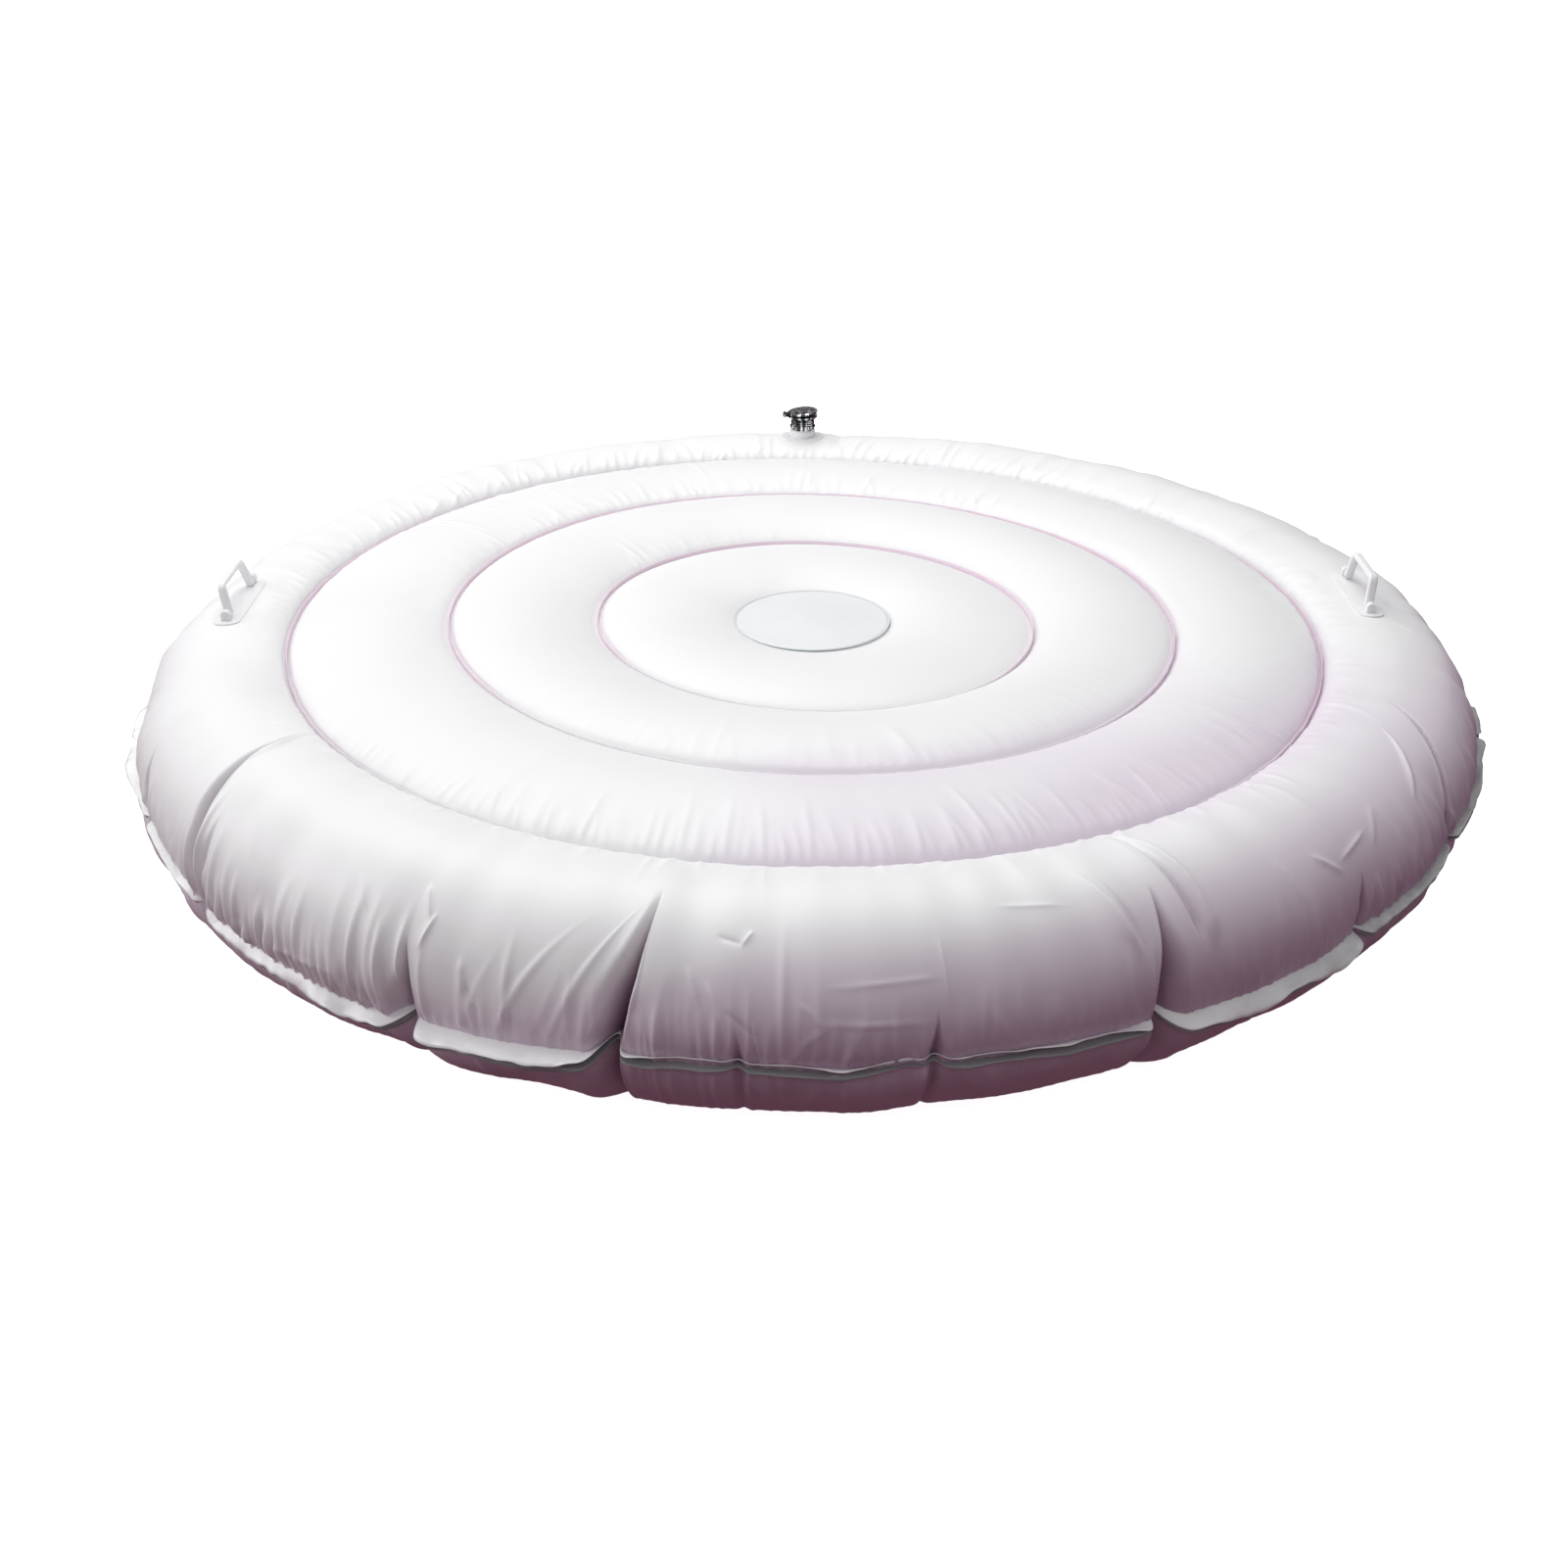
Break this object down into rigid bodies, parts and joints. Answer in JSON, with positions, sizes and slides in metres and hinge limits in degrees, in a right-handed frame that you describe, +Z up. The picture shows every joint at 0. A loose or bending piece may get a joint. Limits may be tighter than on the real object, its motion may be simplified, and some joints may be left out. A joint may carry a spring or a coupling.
{
  "type": "wobble cushion",
  "caption": "Low round air-filled balance cushion with concentric welded pillows, a welded rim, swinging grab handles and a metal lidded air valve.",
  "frame": {"origin": "centre of the footprint, on the floor", "axes": "+Z up; +Y towards the air valve; +X and -X towards the right and left grab handles, seen from the front with the valve at the back"},
  "size_m": [1.5, 1.5, 0.2469],
  "materials": {
    "film_white": "satin white PVC film, faintly mauve in the shade",
    "patch_film": "satin bluish-white PVC patch",
    "tape_pink": "satin pale pink welded tape",
    "baffle_film": "matt translucent PVC film",
    "handle_white": "soft moulded white PVC",
    "valve_chrome": "polished chrome plating",
    "valve_steel": "plain spring steel",
    "valve_brass": "turned brass",
    "seal_rubber": "matt black rubber"
  },
  "bodies": {
    "cushion": {"top_panel": "film_white", "bottom_panel": "film_white", "centre_patch": "patch_film", "centre_baffle": "baffle_film", "inner_baffle": "baffle_film", "inner_seam_tape": "tape_pink", "middle_baffle": "baffle_film", "middle_seam_tape": "tape_pink", "outer_baffle": "baffle_film", "outer_seam_tape": "tape_pink", "left_handle_pad": "handle_white", "right_handle_pad": "handle_white", "valve_boss": "handle_white", "valve_body": "valve_chrome", "valve_gasket": "seal_rubber", "valve_washer": "valve_chrome", "valve_nut": "valve_chrome", "valve_head": "valve_chrome", "lid_hinge_pin": "valve_steel", "spring_retainer": "valve_brass", "poppet_spring": "valve_steel"},
    "left_strap": {"left_handle_strap": "handle_white"},
    "right_strap": {"right_handle_strap": "handle_white"},
    "lid": {"valve_lid": "valve_chrome", "lid_seal": "seal_rubber"},
    "poppet": {"poppet": "valve_brass", "poppet_seal": "seal_rubber"}
  },
  "joints": [
    {"name": "left_handle_swing", "type": "hinge", "parent": "cushion", "child": "left_strap", "pos_m": [-0.64128, 0, 0.21559], "axis": [0, 1, 0], "range_deg": [-61, 89]},
    {"name": "right_handle_swing", "type": "hinge", "parent": "cushion", "child": "right_strap", "pos_m": [0.64028, 0.0358, 0.21559], "axis": [0, 1, 0], "range_deg": [-83, 67]},
    {"name": "lid_hinge", "type": "hinge", "parent": "cushion", "child": "lid", "pos_m": [-0.0255, 0.64128, 0.23959], "axis": [0, -1, 0], "range_deg": [-5, 100]},
    {"name": "poppet_slide", "type": "slide", "parent": "cushion", "child": "poppet", "axis": [0, 0, -1], "range_m": [0, 0.004], "stiffness_N_per_m": 250, "springref_m": -0.004, "deforming": ["poppet_spring"]}
  ]
}
